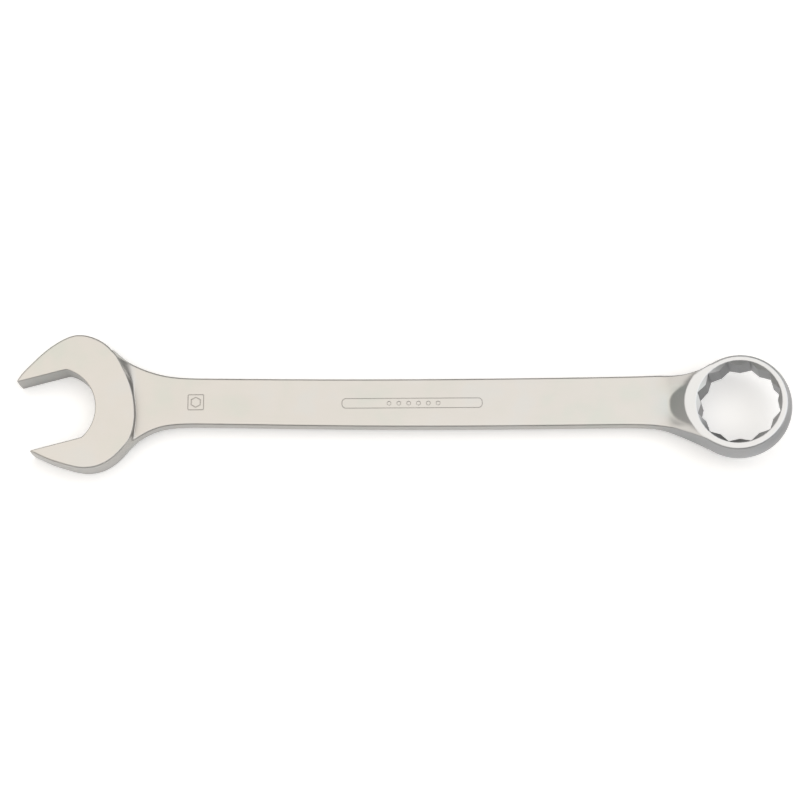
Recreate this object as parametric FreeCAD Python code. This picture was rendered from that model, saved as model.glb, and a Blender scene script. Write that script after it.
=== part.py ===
import FreeCAD, Part
import os, math

# Combination wrench, one drop forging, modelled as three regions that meet face to face.
# Millimetres. +X runs from the open end to the ring, +Z is up, z = 0 is the surface that
# the wrench lies on. The plan shape is drawn about the shank's own axis (y = 0) and then
# shifted so that the origin is under the middle of the bounding box.

V = FreeCAD.Vector

# ---------------------------------------------------------------- driving dimensions
ACROSS_FLATS = 75.0          # hexagon that both ends fit
JAW_ANGLE = 15.0             # open end turned from the shank, degrees
RING_TILT = 15.0             # ring plane tilted up from the shank, degrees
RING_PHASE = -1.5            # turn of the twelve points about the bore axis, degrees

HEAD_T = 29.5                # thickness of the open end
SHANK_T = 15.5               # thickness of the shank
RING_H = 37.6                # height of the ring along its bore axis

NUT_X, NUT_Y = -359.3, -8.7  # centre of the nut that the open end holds
THROAT_R = 43.4              # throat arc, just over the nut's corner radius
THROAT_CORNER_R = 8.0        # relief between throat arc and flats
TIP_UP, TIP_LO = 31.6, 34.7  # how far the two jaw tips stand in front of the nut centre
TIP_R = 1.8                  # rounding of the two jaw tips, seen from above

RING_X, RING_Y = 351.7, -5.9 # centre of the ring
RING_FACE_R = 48.6           # edge of the ring's flat faces
RING_MAX_R = 54.2            # fullest radius of the barrelled wall
RING_EDGE_R = 2.0            # rounding between face and wall
COLLAR_SHIFT = 9.5           # the top face reaches this much further along the shank
COLLAR_R = 44.6
CORNER_R = ACROSS_FLATS / 2.0 / math.cos(math.radians(30.0))    # points of the twelve-point bore
VALLEY_R = ACROSS_FLATS / 2.0 / math.cos(math.radians(15.0))    # valleys between the points
CHAMFER_R = 43.6             # lead-in circle at each ring face
CHAMFER_H = 3.5              # depth of the lead-in

HEAD_EDGE_R = 1.8            # rounding along the head's top and bottom outline
SHANK_EDGE_R = 2.0           # rounding along the shank's long edges

X_SEAM_HEAD = -258.0         # seam between open_end_head and shank
X_SEAM_RING = 266.0          # seam between shank and ring_head
Z_MID = HEAD_T / 2.0         # height of the shank's mid-plane above the resting surface

# outline of the open end seen from above, from the long jaw's tip round to the short one's
HEAD_OUTLINE = [
    (-393.6, 30.0), (-387.5, 36.8), (-381.6, 43.2), (-375.7, 49.2), (-369.7, 54.7),
    (-363.7, 59.5), (-357.6, 63.7), (-351.5, 67.2), (-345.4, 69.9), (-339.2, 71.4),
    (-332.9, 71.4), (-326.6, 70.3), (-320.2, 68.3), (-313.8, 65.3), (-307.3, 61.1),
    (-301.3, 55.2), (-296.0, 47.7), (-290.8, 39.0), (-285.4, 28.9), (-280.4, 16.9),
    (-276.8, 4.3), (-275.0, -7.5), (-274.5, -18.0), (-275.4, -28.3), (-277.9, -38.3),
    (-282.3, -47.2), (-288.0, -54.6), (-294.0, -60.6), (-300.1, -65.2), (-306.2, -68.8),
    (-312.4, -71.3), (-318.6, -72.5), (-325.0, -72.7), (-331.2, -72.1), (-337.5, -70.9),
    (-343.7, -69.4), (-350.0, -67.6), (-356.4, -65.5), (-362.8, -63.1), (-369.2, -60.4),
    (-375.6, -57.3)]

# the shank's two long edges seen from above, flaring into both heads
SHANK_UPPER = [
    (-300.0, 54.0), (-288.0, 45.9), (-275.9, 39.1), (-263.1, 33.8), (-250.5, 30.2),
    (-237.8, 27.7), (-225.3, 26.6), (-208.6, 26.1), (-156.4, 25.7), (-62.4, 25.1),
    (0.2, 25.2), (62.8, 25.7), (125.5, 26.4), (188.1, 27.3), (232.0, 28.1),
    (250.8, 28.6), (269.7, 29.1), (282.2, 28.0), (294.8, 27.8), (307.5, 30.6),
    (320.3, 35.7)]
SHANK_LOWER = [
    (-300.0, -61.0), (-288.0, -51.6), (-281.0, -46.4), (-274.9, -41.9), (-268.9, -37.4),
    (-262.7, -33.7), (-256.6, -30.9), (-250.4, -28.8), (-244.2, -27.1), (-238.0, -26.0),
    (-225.5, -25.0), (-208.7, -24.9), (-156.5, -25.5), (-62.5, -26.8), (0.2, -27.2),
    (62.9, -27.1), (125.5, -26.6), (188.2, -25.9), (232.1, -25.5), (250.9, -25.6),
    (263.4, -26.2), (275.9, -28.4), (288.2, -32.4), (300.5, -37.6), (312.8, -43.4),
    (320.3, -47.0)]


# ---------------------------------------------------------------- helpers
def spline_edge(points, z):
    curve = Part.BSplineCurve()
    curve.interpolate([V(x, y, z) for x, y in points])
    return curve.toShape()


def line_edge(p, q, z):
    return Part.LineSegment(V(p[0], p[1], z), V(q[0], q[1], z)).toShape()


def arc_edge(p, m, q, z):
    return Part.Arc(V(p[0], p[1], z), V(m[0], m[1], z), V(q[0], q[1], z)).toShape()


def prism(edges, height):
    wire = Part.Wire(Part.__sortEdges__(edges))
    return Part.Face(wire).extrude(V(0, 0, height))


def jaw(s, t):
    """A point of the open end: s along the jaw axis towards the shank, t across it."""
    a = math.radians(JAW_ANGLE)
    return (NUT_X + s * math.cos(a) - t * math.sin(a),
            NUT_Y + s * math.sin(a) + t * math.cos(a))


def round_edges(shape, radius, pick):
    """Round the picked edges, with a smaller radius if the full one can't be made."""
    edges = [e for e in shape.Edges if pick(e)]
    for r in (radius, radius * 0.75, radius * 0.5):
        try:
            out = shape.makeFillet(r, edges)
            if out.isValid() and out.Volume > 0.9 * shape.Volume:
                return out
        except Exception:
            pass
    for r in (radius * 0.7, radius * 0.4):
        try:
            out = shape.makeChamfer(r, edges)
            if out.isValid() and out.Volume > 0.9 * shape.Volume:
                print("chamfer in place of a round, size", r)
                return out
        except Exception:
            pass
    print("edges left sharp")
    return shape


def flat_at(edge, z, tol=0.01):
    b = edge.BoundBox
    return abs(b.ZMin - z) < tol and abs(b.ZMax - z) < tol


def single(shape, name):
    """The one solid of a shape, checked."""
    shape = shape.removeSplitter()
    solids = sorted(shape.Solids, key=lambda s: -s.Volume)
    if len(solids) != 1:
        print(name, "has", len(solids), "solids", [round(s.Volume, 1) for s in solids])
    return solids[0]


# ---------------------------------------------------------------- open end
def open_end():
    half = ACROSS_FLATS / 2.0
    tip_u, tip_l = jaw(-TIP_UP, half), jaw(-TIP_LO, -half)
    outline = spline_edge([tip_u] + HEAD_OUTLINE + [tip_l], -HEAD_T / 2.0)

    # mouth: two flats, two relief arcs and the throat arc
    ct = half - THROAT_CORNER_R
    cs = math.sqrt((THROAT_R - THROAT_CORNER_R) ** 2 - ct ** 2)
    k = THROAT_R / (THROAT_R - THROAT_CORNER_R)
    ang0, ang1 = math.radians(90.0), math.atan2(ct, cs)
    am = (ang0 + ang1) / 2.0
    z = -HEAD_T / 2.0
    mid_u = jaw(cs + THROAT_CORNER_R * math.cos(am), ct + THROAT_CORNER_R * math.sin(am))
    mid_l = jaw(cs + THROAT_CORNER_R * math.cos(am), -ct - THROAT_CORNER_R * math.sin(am))
    edges = [
        outline,
        line_edge(tip_l, jaw(cs, -half), z),
        arc_edge(jaw(cs, -half), mid_l, jaw(cs * k, -ct * k), z),
        arc_edge(jaw(cs * k, -ct * k), jaw(THROAT_R, 0.0), jaw(cs * k, ct * k), z),
        arc_edge(jaw(cs * k, ct * k), mid_u, jaw(cs, half), z),
        line_edge(jaw(cs, half), tip_u, z)]
    head = prism(edges, HEAD_T)

    def is_tip(e):
        b = e.BoundBox
        if b.XLength > 0.01 or b.YLength > 0.01:
            return False
        return any(math.hypot(b.XMin - t[0], b.YMin - t[1]) < 0.05 for t in (tip_u, tip_l))

    head = round_edges(head, TIP_R, is_tip)
    return round_edges(head, HEAD_EDGE_R,
                       lambda e: flat_at(e, -HEAD_T / 2.0) or flat_at(e, HEAD_T / 2.0))


# ---------------------------------------------------------------- shank
def shank_bar():
    z = -SHANK_T / 2.0
    edges = [
        spline_edge(SHANK_UPPER, z), spline_edge(SHANK_LOWER, z),
        line_edge(SHANK_UPPER[0], SHANK_LOWER[0], z),
        line_edge(SHANK_UPPER[-1], SHANK_LOWER[-1], z)]
    bar = prism(edges, SHANK_T)
    return round_edges(bar, SHANK_EDGE_R,
                       lambda e: (flat_at(e, z) or flat_at(e, -z)) and e.BoundBox.XLength > 100.0)


# ---------------------------------------------------------------- ring
def ring_lowest():
    """Lowest point of the untranslated ring, below its own centre."""
    c = RING_FACE_R - RING_EDGE_R, RING_H / 2.0 - RING_EDGE_R
    a = math.radians(RING_TILT)
    return c[0] * math.sin(a) + c[1] * math.cos(a) + RING_EDGE_R


RING_Z = -HEAD_T / 2.0 + ring_lowest()      # the ring's heel and the head share the resting plane


def to_ring(shape):
    shape = shape.copy()
    shape.rotate(V(0, 0, 0), V(0, 1, 0), -RING_TILT)
    shape.translate(V(RING_X, RING_Y, RING_Z))
    return shape


def ring_disc():
    h, e = RING_H / 2.0, RING_EDGE_R
    s = math.sqrt(0.5)
    fr, fh = RING_FACE_R - e, h - e

    def p(r, z):
        return V(r, 0, z)

    edges = [
        Part.LineSegment(p(0, -h), p(fr, -h)).toShape(),
        Part.Arc(p(fr, -h), p(fr + e * s, -fh - e * s), p(fr + e, -fh)).toShape(),
        Part.Arc(p(fr + e, -fh), p(RING_MAX_R, 0), p(fr + e, fh)).toShape(),
        Part.Arc(p(fr + e, fh), p(fr + e * s, fh + e * s), p(fr, h)).toShape(),
        Part.LineSegment(p(fr, h), p(0, h)).toShape(),
        Part.LineSegment(p(0, h), p(0, -h)).toShape()]
    face = Part.Face(Part.Wire(edges))
    return face.revolve(V(0, 0, 0), V(0, 0, 1), 360)


def collar():
    """The top face carried on towards the shank as a raised lip, with a sloping wall below."""
    h = RING_H / 2.0
    cone = Part.makeCone(COLLAR_R + 6.0, COLLAR_R, 14.0, V(-COLLAR_SHIFT, 0, h - 14.0))
    keep = Part.makeBox(52.0, 2 * COLLAR_R, 14.0, V(-COLLAR_SHIFT - COLLAR_R - 7.0, -COLLAR_R, h - 14.0))
    return cone.common(keep)


def bore():
    """Two hexagons turned by 30 degrees, with a conical lead-in at each face."""
    h = RING_H / 2.0 + 2.0
    out = None
    for turn in (15.0, 45.0):
        pts = [V(CORNER_R * math.cos(math.radians(turn + RING_PHASE + 60.0 * i)),
                 CORNER_R * math.sin(math.radians(turn + RING_PHASE + 60.0 * i)), -h) for i in range(6)]
        hexa = Part.Face(Part.makePolygon(pts + [pts[0]])).extrude(V(0, 0, 2 * h))
        out = hexa if out is None else out.fuse(hexa)
    out = out.removeSplitter()
    slope = (CHAMFER_R - (VALLEY_R - 0.4)) / CHAMFER_H
    top = RING_H / 2.0
    small, big = VALLEY_R - 0.4, CHAMFER_R + slope * 1.0
    lead_top = Part.makeCone(small, big, CHAMFER_H + 1.0, V(0, 0, top - CHAMFER_H))
    lead_bot = Part.makeCone(big, small, CHAMFER_H + 1.0, V(0, 0, -top - 1.0))
    return out.fuse(lead_top).fuse(lead_bot)


def neck():
    """Shoulders that thicken the flaring shank until it meets the ring's faces."""
    half = SHANK_T / 2.0
    side = [(262.0, -half), (262.0, half), (280.0, half + 1.0), (296.0, half + 5.5),
            (312.0, half + 11.5), (330.0, half + 15.0), (330.0, -half - 5.0),
            (306.0, -half - 5.5), (290.0, -half - 2.2), (276.0, -half - 0.4)]
    pts = [V(x, -70.0, z) for x, z in side]
    block = Part.Face(Part.makePolygon(pts + [pts[0]])).extrude(V(0, 140.0, 0))
    upper = [p for p in SHANK_UPPER if p[0] > 240.0]
    lower = [p for p in SHANK_LOWER if p[0] > 240.0]
    z = -40.0
    plan = prism([spline_edge(upper, z), spline_edge(lower, z),
                  line_edge(upper[0], lower[0], z), line_edge(upper[-1], lower[-1], z)], 80.0)
    return block.common(plan)


# ---------------------------------------------------------------- the three regions
def slab(x0, x1):
    return Part.makeBox(x1 - x0, 400.0, 200.0, V(x0, -200.0, -100.0))


bar = shank_bar()
head_region = single(open_end().fuse(bar.common(slab(-301.0, X_SEAM_HEAD))), "open_end_head")
# the throat stays clear of the bar's buried end
shank_region = single(bar.common(slab(X_SEAM_HEAD, X_SEAM_RING)), "shank")
ring_body = to_ring(ring_disc()).fuse(neck().common(slab(X_SEAM_RING, 400.0)))
ring_body = ring_body.fuse(bar.common(slab(X_SEAM_RING, 400.0)))
ring_body = ring_body.fuse(to_ring(collar()).common(slab(X_SEAM_RING, 400.0)))
ring_region = single(ring_body.cut(to_ring(bore())), "ring_head")

# origin under the middle of the bounding box
boxes = [s.optimalBoundingBox(False, False) for s in (head_region, shank_region, ring_region)]
x0, x1 = min(b.XMin for b in boxes), max(b.XMax for b in boxes)
y0, y1 = min(b.YMin for b in boxes), max(b.YMax for b in boxes)
z0, z1 = min(b.ZMin for b in boxes), max(b.ZMax for b in boxes)
shift = V(-(x0 + x1) / 2.0, -(y0 + y1) / 2.0, -z0)
print("size %.3f x %.3f x %.3f  shift %.4f %.4f %.4f" % (x1 - x0, y1 - y0, z1 - z0, shift.x, shift.y, shift.z))

os.makedirs("parts", exist_ok=True)
for name, region in (("open_end_head", head_region), ("shank", shank_region), ("ring_head", ring_region)):
    region.translate(shift)
    print(name, "valid", region.isValid(), "volume %.1f cm3" % (region.Volume / 1000.0),
          "faces", len(region.Faces))
    region.exportStep("parts/" + name + ".step")
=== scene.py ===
import math
import bpy
import bmesh
import numpy as np
from mathutils import Vector, Matrix, geometry


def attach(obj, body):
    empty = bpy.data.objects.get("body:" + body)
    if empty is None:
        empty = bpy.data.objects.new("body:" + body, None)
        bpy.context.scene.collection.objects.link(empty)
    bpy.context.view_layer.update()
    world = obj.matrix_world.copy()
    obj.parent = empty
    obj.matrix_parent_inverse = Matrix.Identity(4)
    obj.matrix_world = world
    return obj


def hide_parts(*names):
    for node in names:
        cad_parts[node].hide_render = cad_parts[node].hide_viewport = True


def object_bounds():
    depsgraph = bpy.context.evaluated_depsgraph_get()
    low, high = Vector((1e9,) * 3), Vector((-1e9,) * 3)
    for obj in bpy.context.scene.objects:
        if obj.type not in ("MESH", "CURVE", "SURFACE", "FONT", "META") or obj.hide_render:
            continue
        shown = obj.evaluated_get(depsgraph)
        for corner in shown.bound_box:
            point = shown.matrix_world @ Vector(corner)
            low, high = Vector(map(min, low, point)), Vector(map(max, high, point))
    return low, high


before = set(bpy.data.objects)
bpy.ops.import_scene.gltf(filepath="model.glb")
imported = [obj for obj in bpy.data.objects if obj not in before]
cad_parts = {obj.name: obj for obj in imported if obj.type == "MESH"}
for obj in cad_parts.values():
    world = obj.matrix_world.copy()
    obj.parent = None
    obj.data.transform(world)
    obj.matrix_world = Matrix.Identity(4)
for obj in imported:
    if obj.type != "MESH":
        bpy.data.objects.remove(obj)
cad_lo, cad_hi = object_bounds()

# =============================================================================
# Combination wrench. The forging is described once as a signed distance field,
# in millimetres, in the design frame of the CAD source: x along the shank, y
# across it, z up from the shank's mid-plane. The field is meshed by dual
# contouring, which keeps the sharp edges of the jaws and the twelve points.
# =============================================================================
SHIFT = np.array([-3.3199, 0.5828, 14.75])      # design frame to row frame, mm

AF = 75.0
JAW = math.radians(15.0)
TILT = math.radians(15.0)
PHASE = math.radians(-1.5)
HEAD_T, SHANK_T, RING_H = 29.5, 15.5, 37.6
NUT = (-359.3, -8.7)
THROAT_R, CORNER_R = 43.4, 8.0
RING_X, RING_Y = 351.7, -5.9
RING_FACE_R, RING_BACK_R, RING_EDGE_R = 49.6, 48.6, 1.5
COLLAR_A, COLLAR_B, COLLAR_R, COLLAR_SLOPE = -14.0, 2.2, 41.0, math.radians(38.5)
NECK_FOOT, NECK_RISE, NECK_SOFT = 272.0, 0.43, 8.0
BARREL_R, BARREL_A, BARREL_B, BARREL_H = 53.8, -1.5, -0.6, -5.0
CHAMFER_R, CHAMFER_H = 43.8, 3.5
VALLEY_R = AF / 2 / math.cos(math.radians(15.0))
RING_Z = 15.5385
SEAMS = (-258.0, 266.0)

HEAD_OUTLINE = [
    (-393.6, 30.0), (-387.5, 36.8), (-381.6, 43.2), (-375.7, 49.2), (-369.7, 54.7),
    (-363.7, 59.5), (-357.6, 63.7), (-351.5, 67.2), (-345.4, 69.9), (-339.2, 71.4),
    (-332.9, 71.4), (-326.6, 70.3), (-320.2, 68.3), (-313.8, 65.3), (-307.3, 61.1),
    (-301.3, 55.2), (-296.0, 47.7), (-290.8, 39.0), (-285.4, 28.9), (-280.4, 16.9),
    (-276.8, 4.3), (-275.0, -7.5), (-274.5, -18.0), (-275.4, -28.3), (-277.9, -38.3),
    (-282.3, -47.2), (-288.0, -54.6), (-294.0, -60.6), (-300.1, -65.2), (-306.2, -68.8),
    (-312.4, -71.3), (-318.6, -72.5), (-325.0, -72.7), (-331.2, -72.1), (-337.5, -70.9),
    (-343.7, -69.4), (-350.0, -67.6), (-356.4, -65.5), (-362.8, -63.1), (-369.2, -60.4),
    (-375.6, -57.3)]
SHANK_UPPER = [
    (-300.0, 54.0), (-288.0, 45.9), (-275.9, 39.1), (-263.1, 33.8), (-250.5, 30.2),
    (-237.8, 27.7), (-225.3, 26.6), (-208.6, 26.1), (-156.4, 25.7), (-62.4, 25.1),
    (0.2, 25.2), (62.8, 25.7), (125.5, 26.4), (188.1, 27.3), (232.0, 28.1),
    (250.8, 28.6), (269.7, 29.3), (282.2, 30.1), (294.8, 31.7), (307.5, 34.7),
    (320.3, 39.0)]
SHANK_LOWER = [
    (-300.0, -61.0), (-288.0, -51.6), (-281.0, -46.4), (-274.9, -41.9), (-268.9, -37.4),
    (-262.7, -33.7), (-256.6, -30.9), (-250.4, -28.8), (-244.2, -27.1), (-238.0, -26.0),
    (-225.5, -25.0), (-208.7, -24.9), (-156.5, -25.5), (-62.5, -26.8), (0.2, -27.2),
    (62.9, -27.1), (125.5, -26.6), (188.2, -25.9), (232.1, -25.5), (250.9, -25.6),
    (263.4, -26.2), (275.9, -28.4), (288.2, -32.4), (300.5, -37.6), (312.8, -43.4),
    (320.3, -47.0)]


# ---------------------------------------------------------------- smooth curves
def basis(t, knots, degree=3):
    """B-spline basis matrix on clamped knots."""
    k = np.concatenate([[knots[0]] * degree, knots, [knots[-1]] * degree])
    t = np.clip(t, knots[0], knots[-1] - 1e-9)
    n = len(k) - 1
    b = np.zeros((len(t), n))
    for i in range(n):
        b[:, i] = (t >= k[i]) & (t < k[i + 1])
    for d in range(1, degree + 1):
        c = np.zeros((len(t), n - d))
        for i in range(n - d):
            den1, den2 = k[i + d] - k[i], k[i + d + 1] - k[i + 1]
            if den1 > 0:
                c[:, i] += (t - k[i]) / den1 * b[:, i]
            if den2 > 0:
                c[:, i] += (k[i + d + 1] - t) / den2 * b[:, i + 1]
        b = c
    return b


def fair(points, spans, count, ends=30.0):
    """A faired closed-form curve near the given points, sampled evenly."""
    p = np.array(points, float)
    s = np.concatenate([[0], np.cumsum(np.hypot(*np.diff(p, axis=0).T))])
    knots = np.linspace(0, s[-1], spans + 1)
    w = np.ones(len(p))
    w[0] = w[-1] = ends
    m = basis(s, knots)
    ctrl = np.linalg.lstsq(m * w[:, None], p * w[:, None], rcond=None)[0]
    return basis(np.linspace(0, s[-1], count), knots) @ ctrl


def fair_y(points, knots):
    """A faired y(x) for one long edge of the shank, tabulated."""
    p = np.array(points, float)
    knots = np.array(knots, float)
    m = basis(p[:, 0], knots)
    reg = np.diff(np.eye(m.shape[1]), 2, axis=0) * 0.15
    ctrl = np.linalg.lstsq(np.vstack([m, reg]), np.concatenate([p[:, 1], np.zeros(len(reg))]), rcond=None)[0]
    x = np.linspace(knots[0], knots[-1], 2600)
    return x, basis(x, knots) @ ctrl


def jaw(s, t):
    return (NUT[0] + s * math.cos(JAW) - t * math.sin(JAW), NUT[1] + s * math.sin(JAW) + t * math.cos(JAW))


XU, YU = fair_y(SHANK_UPPER, [-300, -280, -262, -246, -228, -200, -120, 0, 120, 220, 262, 285, 303, 320.3])
XL, YL = fair_y(SHANK_LOWER, [-300, -282, -266, -250, -232, -205, -120, 0, 120, 220, 256, 272, 290, 305, 320.3])
CU = 1 / np.sqrt(1 + np.gradient(YU, XU) ** 2)
CL = 1 / np.sqrt(1 + np.gradient(YL, XL) ** 2)

# the shank's upper face is flat, then climbs to the ring in one ramp
XT = np.linspace(-310.0, 345.0, 2621)
_u = XT - NECK_FOOT
ZT = SHANK_T / 2 + NECK_RISE * np.where(_u > NECK_SOFT, _u, np.where(_u > -NECK_SOFT, (_u + NECK_SOFT) ** 2 / (4 * NECK_SOFT), 0.0))
CT = 1 / np.sqrt(1 + np.gradient(ZT, XT) ** 2)


def polygon_field(poly, gx, gy):
    """Exact signed distance to a closed polygon on a plan grid, negative inside."""
    X, Y = np.meshgrid(gx, gy, indexing="ij")
    best = np.full(X.shape, 1e18)
    inside = np.zeros(X.shape, bool)
    n = len(poly)
    for i in range(n):
        ax, ay = poly[i]
        bx, by = poly[(i + 1) % n]
        ex, ey = bx - ax, by - ay
        L = ex * ex + ey * ey
        if L < 1e-12:
            continue
        wx, wy = X - ax, Y - ay
        t = np.clip((wx * ex + wy * ey) / L, 0, 1)
        best = np.minimum(best, (wx - t * ex) ** 2 + (wy - t * ey) ** 2)
        if abs(ey) > 1e-12:
            cross = (ay > Y) != (by > Y)
            inside ^= cross & (X < ex * (Y - ay) / ey + ax)
    d = np.sqrt(best)
    return np.where(inside, -d, d)


class Plan:
    """A plan field looked up by bicubic interpolation."""

    def __init__(self, poly, x0, x1, y0, y1, step=0.5):
        self.x0, self.y0, self.h = x0, y0, step
        self.g = polygon_field(poly, np.arange(x0, x1, step), np.arange(y0, y1, step))

    def __call__(self, x, y):
        u, v = (x - self.x0) / self.h, (y - self.y0) / self.h
        nx, ny = self.g.shape
        u, v = np.clip(u, 1, nx - 3.001), np.clip(v, 1, ny - 3.001)
        i, j = u.astype(int), v.astype(int)
        fu, fv = u - i, v - j

        def w(f):
            return (((-0.5 * f + 1) * f - 0.5) * f, ((1.5 * f - 2.5) * f) * f + 1,
                    ((-1.5 * f + 2) * f + 0.5) * f, ((0.5 * f - 0.5) * f) * f)
        wu, wv = w(fu), w(fv)
        out = np.zeros_like(u)
        for a in range(4):
            row = np.zeros_like(u)
            for b in range(4):
                row += wv[b] * self.g[i + a - 1, j + b - 1]
            out += wu[a] * row
        return out


def arc(c, r, a0, a1, n):
    a = np.linspace(a0, a1, n)
    return [jaw(c[0] + r * math.cos(t), c[1] + r * math.sin(t)) for t in a]


def make_plans():
    half = AF / 2
    curve = fair([jaw(-31.6, half)] + HEAD_OUTLINE + [jaw(-34.7, -half)], 17, 420)
    a, b = curve[0] - curve[2], curve[-1] - curve[-3]
    a, b = a / np.hypot(*a), b / np.hypot(*b)
    outer = [tuple(curve[0] + a * 14)] + [tuple(p) for p in curve] + [tuple(curve[-1] + b * 14)]
    ct = half - CORNER_R
    cs = math.sqrt((THROAT_R - CORNER_R) ** 2 - ct ** 2)
    turn = math.atan2(ct, cs)
    mouth = [jaw(-70, half)] + arc((cs, ct), CORNER_R, math.pi / 2, turn, 24) \
        + arc((0, 0), THROAT_R, turn, -turn, 90)[1:-1] + arc((cs, -ct), CORNER_R, -turn, -math.pi / 2, 24) + [jaw(-70, -half)]
    box = (-416.0, -236.0, -92.0, 92.0)
    return Plan(outer, *box), Plan(mouth, *box)


OUTER, MOUTH = make_plans()


# ---------------------------------------------------------------- field pieces
def smooth(e0, e1, x):
    t = np.clip((x - e0) / (e1 - e0), 0, 1)
    return t * t * (3 - 2 * t)


def join(a, b, k):
    """Union with a fillet of about k."""
    h = np.maximum(k - np.abs(a - b), 0) / k
    return np.minimum(a, b) - h * h * h * k / 6.0


def meet(a, b, r):
    """Intersection with its edge rounded to r."""
    qa, qb = a + r, b + r
    return np.minimum(np.maximum(qa, qb), 0) + np.hypot(np.maximum(qa, 0), np.maximum(qb, 0)) - r


def bow(rise, drop):
    """Radius of the arc that falls back by drop over a height of rise."""
    return (rise ** 2 + drop ** 2) / (2 * drop)


BOW_UP = bow(RING_H / 2 - RING_EDGE_R * 0.5 - BARREL_H, BARREL_R - RING_FACE_R)
BOW_DOWN = bow(RING_H / 2 - RING_EDGE_R * 0.5 + BARREL_H, BARREL_R - RING_BACK_R)
CHAMFER_K = (CHAMFER_R - (VALLEY_R - 0.4)) / CHAMFER_H


def field(p):
    x, y, z = p[:, 0], p[:, 1], p[:, 2]
    # shank, with gently barrelled sides as forged; the neck is narrower at the back edge
    lean = smooth(264.0, 292.0, x)
    tall = np.clip(z / np.interp(x, XT, ZT), -1.2, 1.2)
    barrel = 0.55 * (z / (SHANK_T / 2)) ** 2 * (1 - lean) + lean * 0.4 * tall * tall
    pinch = 4.4 * smooth(266.0, 300.0, x) * (1 - 0.25 * smooth(308.0, 320.0, x))
    up = (y - np.interp(x, XU, YU) + pinch) * np.interp(x, XU, CU)
    lo = (np.interp(x, XL, YL) - y) * np.interp(x, XL, CL)
    side = np.maximum(up, lo) + np.maximum(barrel, 0.0)
    side = np.maximum(side, np.maximum(-299.0 - x, x - 334.0))
    under = -z - SHANK_T / 2
    near = x > 235.0
    far = ~near
    d = np.empty_like(x)
    d[far] = meet(side[far], np.abs(z[far]) - SHANK_T / 2, 2.1)

    # open end: the head's wall and the shank are joined by a cove, then faced off
    w = x < -237.0
    if w.any():
        xw, yw, zw = x[w], y[w], z[w]
        o, m = OUTER(xw, yw), -MOUTH(xw, yw)
        plan = meet(o, m, 1.9)
        outside = smooth(-3.0, 3.0, o - m)
        bulge = 0.6 * (zw / (HEAD_T / 2)) ** 2 * outside
        # the step down to the shank is a cove, wide at the upper corner and narrow below
        foot = 8.5 * smooth(4.0, 44.0, yw) + 2.5 * smooth(-30.0, -46.0, yw)
        rise = np.clip((np.abs(zw) - SHANK_T / 2) / (HEAD_T - SHANK_T) * 2, 0.0, 1.0)
        on_shank = 1 - smooth(-1.5, 3.0, side[w])
        plan = plan - foot * (1 - rise) ** (1.7 - 0.5 * smooth(12.0, 44.0, yw)) * on_shank
        k = 0.7 + 4.3 * smooth(2.0, 30.0, yw) + 8.3 * smooth(-28.0, -44.0, yw)
        wall = np.maximum(join(plan + bulge, d[w], k), m)
        d[w] = meet(wall, np.abs(zw) - HEAD_T / 2, 1.0 + outside * (1.1 - 1.5 * on_shank))

    # ring, the neck that climbs to it, and the cone left in front of the rim
    if near.any():
        xw, yw, zw = x[near] - RING_X, y[near] - RING_Y, z[near] - RING_Z
        a = xw * math.cos(TILT) + zw * math.sin(TILT)
        h = -xw * math.sin(TILT) + zw * math.cos(TILT)
        b = yw
        r = np.hypot(a, b)
        high = np.clip((h - BARREL_H) / (RING_H / 2 - BARREL_H), 0.0, 1.0)
        rw = np.hypot(a - BARREL_A - 1.5 * high, b - BARREL_B + 0.25 * high)
        wall = np.where(h > BARREL_H,
                        np.hypot(np.maximum(rw - (BARREL_R - BOW_UP), 0.0), h - BARREL_H) - BOW_UP,
                        np.hypot(np.maximum(rw - (BARREL_R - BOW_DOWN), 0.0), h - BARREL_H) - BOW_DOWN)
        rails = smooth(0.0, 18.0, y[near]) + smooth(5.0, 30.0, -y[near])
        top = (z[near] - SHANK_T / 2 - rails * (np.interp(x[near], XT, ZT) - SHANK_T / 2)) * np.interp(x[near], XT, CT)
        out = np.maximum(np.hypot(a - COLLAR_A, b - COLLAR_B), 1.0)
        drop = COLLAR_SLOPE - TILT * np.clip((COLLAR_A - a) / out, 0.0, 1.0)      # the same fall all round
        cone = (out - COLLAR_R) * np.sin(drop) - (RING_H / 2 - h) * np.cos(drop)
        top = join(top, cone, 2.4)
        neck = meet(side[near], np.maximum(top, under[near]), 2.1 - 1.2 * smooth(275.0, 300.0, x[near]))
        mid = (1 - smooth(8.0, 30.0, np.abs(y[near] + 3.0))) * (1 - smooth(-7.0, 1.0, z[near]))
        body = join(wall, neck, 4.0 + 20.0 * mid)
        cap = np.where(x[near] > 268.0, np.abs(h) - RING_H / 2, -50.0)
        # a crisp line where the cone meets the faced rim, a rounder one outside
        body = meet(body, cap, 0.3 + (RING_EDGE_R - 0.3) * smooth(-4.0, -0.5, side[near]))
        star = None
        for turn in (15.0, 45.0):
            hexa = None
            for i in range(3):
                t = math.radians(turn + 30.0 + 60.0 * i) + PHASE
                f = np.abs(a * math.cos(t) + b * math.sin(t)) - AF / 2
                hexa = f if hexa is None else np.maximum(hexa, f)
            star = hexa if star is None else np.minimum(star, hexa)
        lead = (r - (CHAMFER_R - CHAMFER_K * (RING_H / 2 - np.abs(h)))) / math.sqrt(1 + CHAMFER_K ** 2)
        d[near] = np.maximum(body, -np.minimum(star, lead))
    return np.maximum(d, -z - HEAD_T / 2)


def gradient(p, e=0.02):
    g = np.empty_like(p)
    for i in range(3):
        s = np.zeros(3)
        s[i] = e
        g[:, i] = field(p + s) - field(p - s)
    n = np.linalg.norm(g, axis=1)
    return g / np.maximum(n, 1e-12)[:, None], n / (2 * e)


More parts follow.
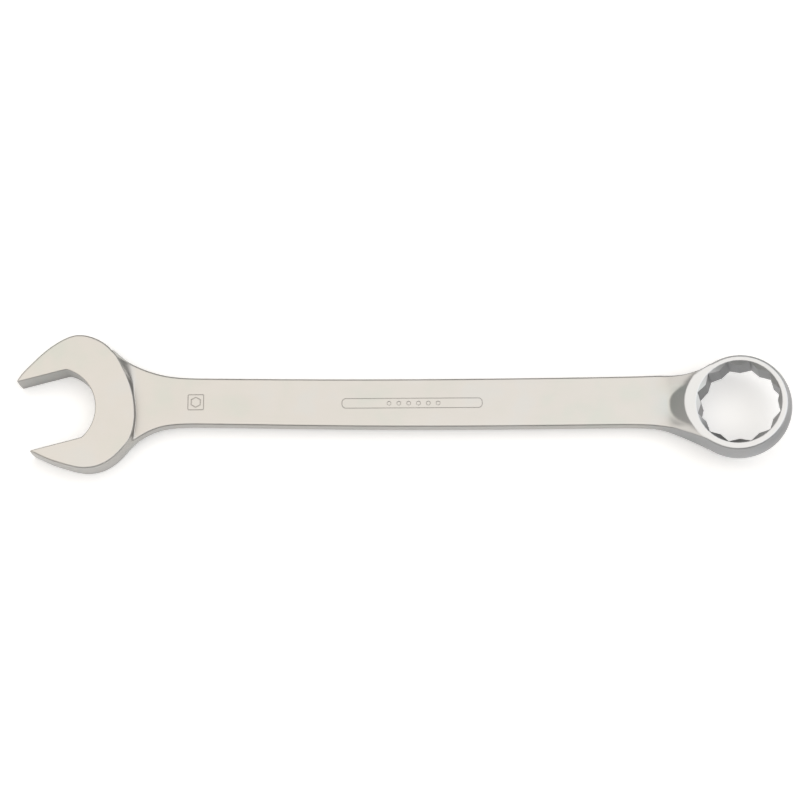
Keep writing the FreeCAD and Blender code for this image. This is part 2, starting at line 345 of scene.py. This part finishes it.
def in_chunks(f, p, size=400000):
    outs = [f(p[i:i + size]) for i in range(0, len(p), size)]
    if isinstance(outs[0], tuple):
        return tuple(np.concatenate([o[j] for o in outs]) for j in range(len(outs[0])))
    return np.concatenate(outs)


# ---------------------------------------------------------------- dual contouring
def graded(parts):
    """Grid lines from (start, end, step) runs."""
    xs = [parts[0][0]]
    for a, b, h in parts:
        n = max(1, int(round((b - a) / h)))
        xs += list(a + (b - a) * (np.arange(n) + 1) / n)
    return np.array(xs)


def dual_contour(xs, ys, zs, near=None):
    nx, ny, nz = len(xs), len(ys), len(zs)
    val = np.full((nx, ny, nz), 5.0, np.float32)
    YY, ZZ = np.meshgrid(ys, zs, indexing="ij")
    for i0 in range(0, nx, 12):
        xi = xs[i0:i0 + 12]
        X = np.repeat(xi, YY.size)
        P = np.column_stack([X, np.tile(YY.ravel(), len(xi)), np.tile(ZZ.ravel(), len(xi))])
        keep = np.ones(len(P), bool)
        keep &= ~((P[:, 0] < 236.0) & (np.abs(P[:, 2]) > HEAD_T / 2 + 1.6))
        keep &= ~((P[:, 0] > -255.0) & (P[:, 0] < 236.0) & ((np.abs(P[:, 2]) > 9.5) | (np.abs(P[:, 1]) > 34.0)))
        v = np.full(len(P), 5.0, np.float32)
        if keep.any():
            v[keep] = field(P[keep])
        val[i0:i0 + 12] = v.reshape(len(xi), ny, nz)
    # keep the field off exact zeros so that every crossing is clean
    val[np.abs(val) < 1e-4] = 1e-4
    neg = val < 0

    grids = (xs, ys, zs)
    n_cells = (nx - 1) * (ny - 1) * (nz - 1)

    def cell(i, j, k):
        return (i * (ny - 1) + j) * (nz - 1) + k

    pts, edge_info = [], []
    for ax in range(3):
        sl0 = [slice(None)] * 3
        sl1 = [slice(None)] * 3
        sl0[ax], sl1[ax] = slice(None, -1), slice(1, None)
        I = np.array(np.nonzero(neg[tuple(sl0)] != neg[tuple(sl1)]))
        J = I.copy()
        J[ax] += 1
        v0, v1 = val[tuple(I)].astype(float), val[tuple(J)].astype(float)
        base = np.column_stack([grids[q][I[q]] for q in range(3)]).astype(float)
        top = np.column_stack([grids[q][J[q]] for q in range(3)]).astype(float)
        t0, t1 = np.zeros(len(v0)), np.ones(len(v0))
        for _ in range(3):
            t = t0 + (t1 - t0) * np.clip(v0 / (v0 - v1), 0.02, 0.98)
            v = in_chunks(field, base + (top - base) * t[:, None])
            same = (v < 0) == (v0 < 0)
            t0, v0 = np.where(same, t, t0), np.where(same, v, v0)
            t1, v1 = np.where(same, t1, t), np.where(same, v1, v)
        t = t0 + (t1 - t0) * v0 / (v0 - v1)
        pts.append(base + (top - base) * t[:, None])
        edge_info.append((ax, I, neg[tuple(I)]))
    P = np.concatenate(pts)
    N, _ = in_chunks(gradient, P)

    # the four cells round each crossed edge
    around, faces_src = [], []
    start = 0
    for ax, I, inside in edge_info:
        b, c = [(1, 2), (2, 0), (0, 1)][ax]
        ids, ok = [], np.ones(I.shape[1], bool)
        for db, dc in ((-1, -1), (0, -1), (0, 0), (-1, 0)):
            q = I.copy()
            q[b] += db
            q[c] += dc
            for a_, m in ((0, nx - 1), (1, ny - 1), (2, nz - 1)):
                ok &= (q[a_] >= 0) & (q[a_] < m)
            ids.append(cell(q[0], q[1], q[2]))
        ids = np.array(ids).T
        around.append(ids)
        faces_src.append((ids, ok, inside))
        start += len(ids)
    around = np.concatenate(around)
    used = np.unique(around)
    index = np.searchsorted(used, around)
    m = len(used)
    flat = index.ravel()
    PP, NN = np.repeat(P, 4, axis=0), np.repeat(N, 4, axis=0)
    cnt = np.bincount(flat, minlength=m).astype(float)
    mass = np.column_stack([np.bincount(flat, PP[:, q], m) for q in range(3)]) / cnt[:, None]
    Q = PP - mass[flat]
    bb = np.einsum("ij,ij->i", NN, Q)
    A = np.zeros((m, 3, 3))
    for i in range(3):
        for j in range(i, 3):
            A[:, i, j] = A[:, j, i] = np.bincount(flat, NN[:, i] * NN[:, j], m)
    B = np.column_stack([np.bincount(flat, NN[:, q] * bb, m) for q in range(3)])
    # damp only the directions that the normals say nothing about
    wv, ev = np.linalg.eigh(A)
    inv = np.where(wv > 0.06 * wv[:, 2:3], 1.0 / np.maximum(wv, 1e-9), 0.0)
    off = np.einsum("mij,mj->mi", ev, inv * np.einsum("mji,mj->mi", ev, B))
    rank = (wv > 0.06 * wv[:, 2:3]).sum(1)
    kk = used % (nz - 1)
    jj = (used // (nz - 1)) % (ny - 1)
    ii = used // ((nz - 1) * (ny - 1))
    lo = np.column_stack([xs[ii], ys[jj], zs[kk]])
    hi = np.column_stack([xs[ii + 1], ys[jj + 1], zs[kk + 1]])
    pad = (hi - lo) * 0.05
    pos = np.clip(mass + off, lo - pad, hi + pad)
    # pull every point onto the surface
    for _ in range(2):
        g, gl = in_chunks(gradient, pos)
        v = in_chunks(field, pos)
        step = np.clip(v / np.maximum(gl, 0.3), -0.12, 0.12)
        pos = pos - g * step[:, None]
    quads = []
    s = 0
    for ids, ok, inside in faces_src:
        q = index[s:s + len(ids)]
        s += len(ids)
        q = q[ok]
        ins = inside[ok]
        q[~ins] = q[~ins][:, ::-1]
        quads.append(q)
    return pos, np.concatenate(quads), rank


FINE, RUN = 0.75, 2.5
xs = graded([(-402.4, -252.0, FINE), (-252.0, -240.0, (FINE + RUN) / 2), (-240.0, 232.0, RUN),
             (232.0, 246.0, (FINE + RUN) / 2), (246.0, 408.3, FINE)])
ys = graded([(-75.3, 74.2, FINE)])
zs = graded([(-16.1, -6.0, FINE * 0.9), (-6.0, 6.0, FINE * 1.2), (6.0, 16.2, FINE * 0.9), (16.2, 47.6, FINE)])
verts, quads, rank = dual_contour(xs, ys, zs)
print("contour", len(verts), "points", len(quads), "faces")


# ---------------------------------------------------------------- engraving
def rounded_rect(cx, cy, w, h, r, turn=0.0, n=8):
    out = []
    for sx, sy, a0 in ((1, 1, 0), (-1, 1, 90), (-1, -1, 180), (1, -1, 270)):
        for i in range(n + 1):
            a = math.radians(a0 + 90.0 * i / n)
            out.append((sx * (w / 2 - r) + r * math.cos(a), sy * (h / 2 - r) + r * math.sin(a)))
    c, s = math.cos(turn), math.sin(turn)
    return [(cx + x * c - y * s, cy + x * s + y * c) for x, y in out]


def hexagon(cx, cy, af, turn=0.0):
    R = af / 2 / math.cos(math.pi / 6)
    out = []
    for i in range(6):
        a0, a1 = turn + i * math.pi / 3, turn + (i + 1) * math.pi / 3
        for f in (0.0, 0.5):
            out.append((cx + R * (math.cos(a0) * (1 - f) + math.cos(a1) * f),
                        cy + R * (math.sin(a0) * (1 - f) + math.sin(a1) * f)))
    return out


def grooves_size_mark():
    """A square frame round a plain hexagon, the sign for a hexagon fitting."""
    cx, cy, a = -212.6, -0.6, math.radians(0.6)
    out = []
    for k, (off, dz) in enumerate(((0.45, 0), (0.2, 1), (-0.2, 1), (-0.45, 0))):
        out.append((rounded_rect(cx, cy, 16.2 + 2 * off, 16.2 + 2 * off, 1.2 + off, a), dz))
    for off, dz in ((0.55, 0), (0.25, 1), (-0.25, 1), (-0.55, 0)):
        out.append((hexagon(cx, cy, 9.4 + 2 * off, math.pi / 6), dz))
    return out


def grooves_panel():
    """A long blank cartouche with a row of plain hexagons in place of any mark."""
    cx, cy, a = 12.3, -1.4, math.radians(0.35)
    out = []
    for off, dz in ((0.42, 0), (0.2, 1), (-0.2, 1), (-0.42, 0)):
        out.append((rounded_rect(cx, cy, 145.8 + 2 * off, 10.3 + 2 * off, 4.2 + off, a, 10), dz))
    for i in range(6):
        x = cx + 1.5 + (i - 2.5) * 10.2
        y = cy + (x - cx) * math.tan(a)
        for off, dz in ((0.0, 0), (-0.45, 1)):
            out.append((hexagon(x, y, 4.4 + 2 * off, math.pi / 6), dz))
    return out


def engrave(verts, quads, lo, hi, rings, depth):
    """Swaps a window of the shank's flat top for a triangulated one with real grooves in it."""
    top = SHANK_T / 2
    c = verts[quads].mean(1)
    v = verts[quads]
    inside = (np.abs(v[:, :, 2] - top) < 0.05).all(1) & (v[:, :, 0] > lo[0]).all(1) & (v[:, :, 0] < hi[0]).all(1) \
        & (v[:, :, 1] > lo[1]).all(1) & (v[:, :, 1] < hi[1]).all(1)
    hole, keep = quads[inside], quads[~inside]
    e = {}
    for q in hole:
        for a, b in zip(q, np.roll(q, -1)):
            e[(a, b)] = 1
    nxt = {a: b for (a, b) in e if (b, a) not in e}
    start = next(iter(nxt))
    loop, cur = [start], nxt[start]
    while cur != start:
        loop.append(cur)
        cur = nxt[cur]
    co = [Vector(verts[i][:2]) for i in loop]
    edges = [(i, (i + 1) % len(co)) for i in range(len(co))]
    level = [0] * len(co)
    for ring, dz in rings:
        s = len(co)
        co += [Vector(p) for p in ring]
        level += [dz] * len(ring)
        edges += [(s + i, s + (i + 1) % len(ring)) for i in range(len(ring))]
    out = geometry.delaunay_2d_cdt(co, edges, [], 1, 1e-6, True)
    new_co, _, new_faces, origin = out[0], out[1], out[2], out[3]
    add, where = [], []
    for i, p in enumerate(new_co):
        src = origin[i]
        if src and src[0] < len(loop):
            where.append(loop[src[0]])
        else:
            dz = level[src[0]] if src else 0
            add.append((p.x, p.y, top - depth * dz))
            where.append(len(verts) + len(add) - 1)
    verts = np.vstack([verts, np.array(add)])
    tris = []
    for f in new_faces:
        t = [where[i] for i in f]
        a, b, c_ = (verts[i] for i in t[:3])
        if (b[0] - a[0]) * (c_[1] - a[1]) - (b[1] - a[1]) * (c_[0] - a[0]) < 0:
            t = t[::-1]
        tris.append(t)
    return verts, keep, tris


verts, quads, tris1 = engrave(verts, quads, (-226.0, -13.5), (-199.5, 12.0), grooves_size_mark(), 0.5)
verts, quads, tris2 = engrave(verts, quads, (-66.0, -11.0), (91.0, 8.5), grooves_panel(), 0.45)
faces = [tuple(int(i) for i in q) for q in quads] + [tuple(int(i) for i in t) for t in tris1 + tris2]

whole = bmesh.new()
bv = [whole.verts.new(v) for v in verts]
for f in faces:
    try:
        whole.faces.new([bv[i] for i in f])
    except ValueError:
        pass
loose = [v for v in whole.verts if not v.link_faces]
bmesh.ops.delete(whole, geom=loose, context="VERTS")
whole.normal_update()
bad = sum(1 for e in whole.edges if len(e.link_faces) != 2)
print("edges that aren't shared by two faces:", bad)


# ---------------------------------------------------------------- the three pieces
def cut_piece(x_min, x_max):
    bm = whole.copy()
    seams = []
    for x, side in ((x_min, -1), (x_max, 1)):
        if x is None:
            continue
        geom = bm.verts[:] + bm.edges[:] + bm.faces[:]
        res = bmesh.ops.bisect_plane(bm, geom=geom, dist=1e-5, plane_co=(x, 0, 0), plane_no=(side, 0, 0), clear_outer=True)
        rim = [e for e in res["geom_cut"] if isinstance(e, bmesh.types.BMEdge)]
        cap = bmesh.ops.triangle_fill(bm, use_beauty=True, use_dissolve=False, edges=rim, normal=(side, 0, 0))
        for f in cap["geom"]:
            if isinstance(f, bmesh.types.BMFace):
                f.normal_update()
                if f.normal.x * side < 0:
                    f.normal_flip()
        seams.append(x)
    bmesh.ops.remove_doubles(bm, verts=bm.verts[:], dist=1e-4)
    bm.normal_update()
    return bm, seams


def shade(mesh, seams):
    """Corner normals taken from the field, so that seams and facets don't show and sharp edges stay sharp."""
    nv, nl, nf = len(mesh.vertices), len(mesh.loops), len(mesh.polygons)
    co = np.zeros(nv * 3)
    mesh.vertices.foreach_get("co", co)
    co = co.reshape(-1, 3)
    li = np.zeros(nl, int)
    mesh.loops.foreach_get("vertex_index", li)
    ls, lt = np.zeros(nf, int), np.zeros(nf, int)
    mesh.polygons.foreach_get("loop_start", ls)
    mesh.polygons.foreach_get("loop_total", lt)
    fn = np.zeros(nf * 3)
    mesh.polygons.foreach_get("normal", fn)
    fn = fn.reshape(-1, 3)
    lf = np.repeat(np.arange(nf), lt)
    cen = np.column_stack([np.bincount(lf, co[li, q], nf) for q in range(3)]) / lt[:, None]
    vn, _ = in_chunks(gradient, co)
    pt = co[li] * 0.8 + cen[lf] * 0.2
    cn, _ = in_chunks(gradient, pt)
    agree = np.einsum("ij,ij->i", cn, vn[li])
    worst = np.full(nv, 1.0)
    np.minimum.at(worst, li, agree)
    soft = worst[li] > math.cos(math.radians(24.0))
    out = np.where(soft[:, None], vn[li], cn)
    # engraved windows and seam faces are flat
    top = SHANK_T / 2
    win = np.zeros(nf, bool)
    for lo, hi in (((-226.0, -13.5), (-199.5, 12.0)), ((-66.0, -11.0), (91.0, 8.5))):
        win |= (cen[:, 0] > lo[0]) & (cen[:, 0] < hi[0]) & (cen[:, 1] > lo[1]) & (cen[:, 1] < hi[1]) & (cen[:, 2] > top - 0.6)
    for x in seams:
        win |= (np.abs(cen[:, 0] - x) < 1e-3) & (np.abs(fn[:, 0]) > 0.999)
    # where the field is unsure, trust the face
    unsure = np.einsum("ij,ij->i", out, fn[lf]) < 0.25
    flat = win[lf] | unsure
    out[flat] = fn[lf][flat]
    out /= np.maximum(np.linalg.norm(out, axis=1), 1e-9)[:, None]
    return out


pieces = {}
for name, a, b in (("open_end_head", None, SEAMS[0]), ("shank", SEAMS[0], SEAMS[1]), ("ring_head", SEAMS[1], None)):
    bm, seams = cut_piece(a, b)
    mesh = bpy.data.meshes.new(name + "_forged")
    bm.to_mesh(mesh)
    bm.free()
    normals = shade(mesh, seams)
    mesh.polygons.foreach_set("use_smooth", np.ones(len(mesh.polygons), bool))
    co = np.zeros(len(mesh.vertices) * 3)
    mesh.vertices.foreach_get("co", co)
    co = (co.reshape(-1, 3) + SHIFT) / 1000.0
    mesh.vertices.foreach_set("co", co.ravel())
    mesh.update()
    mesh.normals_split_custom_set([tuple(n) for n in normals])
    ob = bpy.data.objects.new(name + "_forged", mesh)
    bpy.context.scene.collection.objects.link(ob)
    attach(ob, "root")
    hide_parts(name)
    pieces[name] = ob
whole.free()


# ---------------------------------------------------------------- material
def chrome():
    mat = bpy.data.materials.new("satin_chrome")
    mat.use_nodes = True
    nt = mat.node_tree
    nt.nodes.clear()
    N, L = nt.nodes.new, nt.links.new

    def node(kind, **props):
        n = N(kind)
        for k, v in props.items():
            setattr(n, k, v)
        return n

    def math_node(op, a, b=None, clamp=False):
        n = node("ShaderNodeMath", operation=op, use_clamp=clamp)
        for i, v in enumerate((a, b)):
            if v is None:
                continue
            if isinstance(v, (int, float)):
                n.inputs[i].default_value = v
            else:
                L(v, n.inputs[i])
        return n.outputs[0]

    def noise(vec, scale, detail=4.0, rough=0.5):
        n = node("ShaderNodeTexNoise")
        n.inputs["Scale"].default_value = scale
        n.inputs["Detail"].default_value = detail
        n.inputs["Roughness"].default_value = rough
        L(vec, n.inputs["Vector"])
        return n

    def ramp(fac, stops):
        n = node("ShaderNodeValToRGB")
        e = n.color_ramp.elements
        while len(e) < len(stops):
            e.new(0.5)
        for el, (p, c) in zip(e, stops):
            el.position = p
            el.color = (*c, 1.0)
        L(fac, n.inputs[0])
        return n

    out = node("ShaderNodeOutputMaterial")
    bsdf = node("ShaderNodeBsdfPrincipled")
    L(bsdf.outputs[0], out.inputs[0])
    tc = node("ShaderNodeTexCoord")
    obj = tc.outputs["Object"]

    # broad blotches of warm, green and rose, as thin plate shows
    warm = noise(obj, 26.0, 2.0)
    tint = ramp(warm.outputs["Fac"], [(0.30, (0.560, 0.568, 0.532)), (0.45, (0.585, 0.570, 0.540)),
                                      (0.56, (0.592, 0.573, 0.546)), (0.70, (0.584, 0.576, 0.556))])
    cloud = noise(obj, 7.0, 3.0)
    lum = ramp(cloud.outputs["Fac"], [(0.25, (0.93,) * 3), (0.75, (1.0,) * 3)])
    mix = node("ShaderNodeMix", data_type="RGBA", blend_type="MULTIPLY")
    mix.inputs["Factor"].default_value = 1.0
    L(tint.outputs[0], mix.inputs[6])
    L(lum.outputs[0], mix.inputs[7])

    # fine lengthwise brush lines
    stretch = node("ShaderNodeMapping")
    stretch.inputs["Scale"].default_value = (40.0, 1500.0, 1500.0)
    L(obj, stretch.inputs["Vector"])
    lines = noise(stretch.outputs[0], 1.0, 3.0, 0.6)
    fine = noise(obj, 900.0, 3.0, 0.6)
    pits = noise(obj, 260.0, 2.0, 0.5)

    # painted shade: the colour is darkened by ambient occlusion over 16 mm, so grooves, inner corners and recesses go
    # darker and high edges stay bright
    geo = node("ShaderNodeNewGeometry")
    ao = node("ShaderNodeAmbientOcclusion", samples=8)
    ao.inputs["Distance"].default_value = 0.016
    # painted shade: occluded places drop to about 0.58 of the colour
    ao_shade = ramp(ao.outputs["AO"], [(0.30, (0.58, 0.575, 0.57)), (0.92, (1.0, 1.0, 1.0))])
    mix2 = node("ShaderNodeMix", data_type="RGBA", blend_type="MULTIPLY")
    mix2.inputs["Factor"].default_value = 0.9
    L(mix.outputs[2], mix2.inputs[6])
    L(ao_shade.outputs[0], mix2.inputs[7])

    # painted shade: the walls and rounded edges, whose normals lie near the horizontal, are darkened to about 0.74 of
    # the flats' colour
    tex_n = node("ShaderNodeSeparateXYZ")
    L(tc.outputs["Normal"], tex_n.inputs[0])
    wall = node("ShaderNodeMapRange", interpolation_type="SMOOTHSTEP")
    L(math_node("ABSOLUTE", tex_n.outputs["Z"]), wall.inputs["Value"])
    wall.inputs["From Min"].default_value = 0.35
    wall.inputs["From Max"].default_value = 0.75
    wall.inputs["To Min"].default_value = 1.0
    wall.inputs["To Max"].default_value = 0.0
    # painted shade on every wall
    wall_shade = node("ShaderNodeMix", data_type="RGBA", blend_type="MULTIPLY")
    L(wall.outputs["Result"], wall_shade.inputs["Factor"])
    L(mix2.outputs[2], wall_shade.inputs[6])
    wall_shade.inputs[7].default_value = (0.74, 0.745, 0.75, 1.0)

    # the ring's two faces are ground: brighter, and finer than the forged skin
    sep = node("ShaderNodeSeparateXYZ")
    L(obj, sep.inputs[0])
    cx, cz = (RING_X + SHIFT[0]) / 1000.0, (RING_Z + SHIFT[2]) / 1000.0
    hx = math_node("MULTIPLY", math_node("SUBTRACT", sep.outputs["X"], cx), -math.sin(TILT))
    hz = math_node("MULTIPLY", math_node("SUBTRACT", sep.outputs["Z"], cz), math.cos(TILT))
    height = math_node("ABSOLUTE", math_node("ADD", hx, hz))
    off_face = math_node("ABSOLUTE", math_node("SUBTRACT", height, RING_H / 2000.0))
    ground = math_node("MULTIPLY", math_node("LESS_THAN", off_face, 0.0003), math_node("GREATER_THAN", sep.outputs["X"], 0.286))
    # the ring end's plating is cooler than the rest
    cool = node("ShaderNodeMapRange", interpolation_type="SMOOTHSTEP")
    L(sep.outputs["X"], cool.inputs["Value"])
    cool.inputs["From Min"].default_value = 0.245
    cool.inputs["From Max"].default_value = 0.290
    grey = node("ShaderNodeMix", data_type="RGBA", blend_type="MULTIPLY")
    L(cool.outputs["Result"], grey.inputs["Factor"])
    L(wall_shade.outputs[2], grey.inputs[6])
    grey.inputs[7].default_value = (0.950, 0.982, 1.035, 1.0)

    # painted shade: the ring end's walls are darkened again, to 0.80
    # painted shade on the ring end's walls
    edge = node("ShaderNodeMix", data_type="RGBA", blend_type="MULTIPLY")
    L(math_node("MULTIPLY", cool.outputs["Result"], wall.outputs["Result"]), edge.inputs["Factor"])
    L(grey.outputs[2], edge.inputs[6])
    edge.inputs[7].default_value = (0.80, 0.80, 0.81, 1.0)

    # painted shade: the ring's walls that face the far (+x) end are darkest, darkened again to 0.66
    tip = node("ShaderNodeMapRange", interpolation_type="SMOOTHSTEP")
    L(tex_n.outputs["X"], tip.inputs["Value"])
    tip.inputs["From Min"].default_value = 0.10
    tip.inputs["From Max"].default_value = 0.95
    # painted shade on the walls facing the far end
    far_wall_shade = node("ShaderNodeMix", data_type="RGBA", blend_type="MULTIPLY")
    L(math_node("MULTIPLY", tip.outputs["Result"], math_node("MULTIPLY", cool.outputs["Result"], wall.outputs["Result"])), far_wall_shade.inputs["Factor"])
    L(edge.outputs[2], far_wall_shade.inputs[6])
    far_wall_shade.inputs[7].default_value = (0.66, 0.665, 0.675, 1.0)

    # painted shade: the twelve flats inside the bore are darkened to 0.70
    ra = math_node("ADD", math_node("MULTIPLY", math_node("SUBTRACT", sep.outputs["X"], cx), math.cos(TILT)),
                   math_node("MULTIPLY", math_node("SUBTRACT", sep.outputs["Z"], cz), math.sin(TILT)))
    rb = math_node("SUBTRACT", sep.outputs["Y"], (RING_Y + SHIFT[1]) / 1000.0)
    rr = math_node("SQRT", math_node("ADD", math_node("MULTIPLY", ra, ra), math_node("MULTIPLY", rb, rb)))
    bore = math_node("MULTIPLY", math_node("LESS_THAN", rr, 0.0440), math_node("LESS_THAN", height, RING_H / 2000.0 - 0.0003))
    # painted shade inside the bore
    bore_shade = node("ShaderNodeMix", data_type="RGBA", blend_type="MULTIPLY")
    L(math_node("MULTIPLY", bore, wall.outputs["Result"]), bore_shade.inputs["Factor"])
    L(far_wall_shade.outputs[2], bore_shade.inputs[6])
    bore_shade.inputs[7].default_value = (0.70, 0.705, 0.71, 1.0)

    # painted shade: the walls inside the mouth are darkened a little, to 0.83
    jx = math_node("SUBTRACT", sep.outputs["X"], (NUT[0] + SHIFT[0]) / 1000.0)
    jy = math_node("SUBTRACT", sep.outputs["Y"], (NUT[1] + SHIFT[1]) / 1000.0)
    js = math_node("ADD", math_node("MULTIPLY", jx, math.cos(JAW)), math_node("MULTIPLY", jy, math.sin(JAW)))
    jt = math_node("SUBTRACT", math_node("MULTIPLY", jy, math.cos(JAW)), math_node("MULTIPLY", jx, math.sin(JAW)))
    in_mouth = math_node("MULTIPLY", math_node("LESS_THAN", js, 0.0440), math_node("LESS_THAN", math_node("ABSOLUTE", jt), 0.0382))
    in_mouth = math_node("MULTIPLY", in_mouth, math_node("LESS_THAN", sep.outputs["X"], -0.25))
    # painted shade on the walls inside the mouth
    mouth_shade = node("ShaderNodeMix", data_type="RGBA", blend_type="MULTIPLY")
    L(math_node("MULTIPLY", in_mouth, wall.outputs["Result"]), mouth_shade.inputs["Factor"])
    L(bore_shade.outputs[2], mouth_shade.inputs[6])
    mouth_shade.inputs[7].default_value = (0.83, 0.835, 0.84, 1.0)

    mix3 = node("ShaderNodeMix", data_type="RGBA")
    L(math_node("MULTIPLY", ground, 0.85), mix3.inputs["Factor"])
    L(mouth_shade.outputs[2], mix3.inputs[6])
    mix3.inputs[7].default_value = (0.655, 0.672, 0.695, 1.0)
    L(mix3.outputs[2], bsdf.inputs["Base Color"])

    bsdf.inputs["Metallic"].default_value = 1.0
    r = math_node("MULTIPLY", cloud.outputs["Fac"], 0.12)
    r = math_node("ADD", r, 0.25)
    r2 = math_node("MULTIPLY", lines.outputs["Fac"], 0.10)
    L(math_node("ADD", r, r2, True), bsdf.inputs["Roughness"])

    h = math_node("MULTIPLY", lines.outputs["Fac"], 0.5)
    h = math_node("ADD", h, math_node("MULTIPLY", fine.outputs["Fac"], 0.35))
    h = math_node("ADD", h, math_node("MULTIPLY", pits.outputs["Fac"], 0.5))
    bump = node("ShaderNodeBump")
    bump.inputs["Strength"].default_value = 0.10
    bump.inputs["Distance"].default_value = 0.0004
    L(h, bump.inputs["Height"])
    L(bump.outputs[0], bsdf.inputs["Normal"])
    return mat


steel = chrome()
for ob in pieces.values():
    ob.data.materials.clear()
    ob.data.materials.append(steel)

# ---------------------------------------------------------------- floor, light, camera
lo, hi = cad_lo, cad_hi
O = Vector(tuple(SHIFT / 1000.0))
floor_mesh = bpy.data.meshes.new("floor")
floor_mesh.from_pydata([(-6, -6, 0), (6, -6, 0), (6, 6, 0), (-6, 6, 0)], [], [(0, 1, 2, 3)])
floor = bpy.data.objects.new("floor", floor_mesh)
bpy.context.scene.collection.objects.link(floor)
fm = bpy.data.materials.new("pale_floor")
fm.use_nodes = True
fb = fm.node_tree.nodes["Principled BSDF"]
fb.inputs["Base Color"].default_value = (0.95, 0.95, 0.95, 1)
fb.inputs["Roughness"].default_value = 0.9
fb.inputs["Specular IOR Level"].default_value = 0.1
fb.inputs["Emission Color"].default_value = (1.0, 1.0, 1.0, 1.0)
fb.inputs["Emission Strength"].default_value = 0.30
floor_mesh.materials.append(fm)

world = bpy.data.worlds.new("studio")
bpy.context.scene.world = world
world.use_nodes = True
wt = world.node_tree
wb = wt.nodes["Background"]
w_tc = wt.nodes.new("ShaderNodeTexCoord")
w_sep = wt.nodes.new("ShaderNodeSeparateXYZ")
wt.links.new(w_tc.outputs["Generated"], w_sep.inputs[0])


def w_math(op, a, b=None):
    n = wt.nodes.new("ShaderNodeMath")
    n.operation = op
    for i, v in enumerate((a, b)):
        if v is None:
            continue
        if isinstance(v, (int, float)):
            n.inputs[i].default_value = v
        else:
            wt.links.new(v, n.inputs[i])
    return n.outputs[0]


def w_fall(angle, start, end):
    """1 up to the start angle, 0 past the end angle, in degrees from straight up."""
    n = wt.nodes.new("ShaderNodeMapRange")
    n.interpolation_type = "SMOOTHSTEP"
    wt.links.new(angle, n.inputs["Value"])
    n.inputs["From Min"].default_value = math.radians(start)
    n.inputs["From Max"].default_value = math.radians(end)
    n.inputs["To Min"].default_value = 1.0
    n.inputs["To Max"].default_value = 0.0
    return n.outputs["Result"]


# one big overhead softbox: its four edges are soft, and the room round it is dim
up_z = w_math("MAXIMUM", w_sep.outputs["Z"], 0.001)
ang_x = w_math("ARCTAN2", w_sep.outputs["X"], up_z)
ang_y = w_math("ARCTAN2", w_sep.outputs["Y"], up_z)
box_l = w_fall(w_math("MULTIPLY", ang_x, -1.0), 42.0, 64.0)
box_r = w_fall(ang_x, 55.0, 78.0)
box_f = w_fall(w_math("MULTIPLY", ang_y, -1.0), 24.0, 48.0)
box_b = w_fall(ang_y, 34.0, 55.0)
soft = w_math("MULTIPLY", w_math("MULTIPLY", box_l, box_r), w_math("MULTIPLY", box_f, box_b))
w_mix = wt.nodes.new("ShaderNodeMix")
w_mix.data_type = "RGBA"
wt.links.new(soft, w_mix.inputs["Factor"])
w_ends = wt.nodes.new("ShaderNodeMix")
w_ends.data_type = "RGBA"
wt.links.new(w_fall(ang_y, -25.0, 25.0), w_ends.inputs["Factor"])
w_ends.inputs[6].default_value = (0.09, 0.092, 0.095, 1.0)
w_ends.inputs[7].default_value = (0.20, 0.202, 0.206, 1.0)
w_room = wt.nodes.new("ShaderNodeMix")
w_room.data_type = "RGBA"
wt.links.new(w_fall(ang_x, -72.0, -46.0), w_room.inputs["Factor"])
wt.links.new(w_ends.outputs[2], w_room.inputs[6])
w_room.inputs[7].default_value = (0.37, 0.362, 0.345, 1.0)
wt.links.new(w_room.outputs[2], w_mix.inputs[6])
# the light is a little warmer over the open end
w_tone = wt.nodes.new("ShaderNodeMix")
w_tone.data_type = "RGBA"
wt.links.new(w_fall(ang_x, -26.0, 26.0), w_tone.inputs["Factor"])
w_tone.inputs[6].default_value = (1.44, 1.435, 1.425, 1.0)
w_tone.inputs[7].default_value = (1.45, 1.375, 1.275, 1.0)
wt.links.new(w_tone.outputs[2], w_mix.inputs[7])
wt.links.new(w_mix.outputs[2], wb.inputs[0])
wb.inputs[1].default_value = 1.0

EL, DIST, FOCAL_PX = math.radians(75.2), 1.78242, 1706.95
b = Vector((0.0, -math.cos(EL), math.sin(EL)))
u = Vector((0.0, math.sin(EL), math.cos(EL)))
cam_data = bpy.data.cameras.new("camera")
cam_data.sensor_width = 36.0
cam_data.lens = FOCAL_PX / 800.0 * 36.0
cam_data.clip_start, cam_data.clip_end = 0.05, 50.0
cam = bpy.data.objects.new("camera", cam_data)
bpy.context.scene.collection.objects.link(cam)
px = DIST / FOCAL_PX
cam.location = O + b * DIST + u * (3.7 * px) - Vector((1, 0, 0)) * (0.3 * px)
cam.rotation_mode = "QUATERNION"
cam.rotation_quaternion = (-b).to_track_quat("-Z", "Y")
bpy.context.scene.camera = cam
bpy.context.scene.view_settings.view_transform = "Standard"
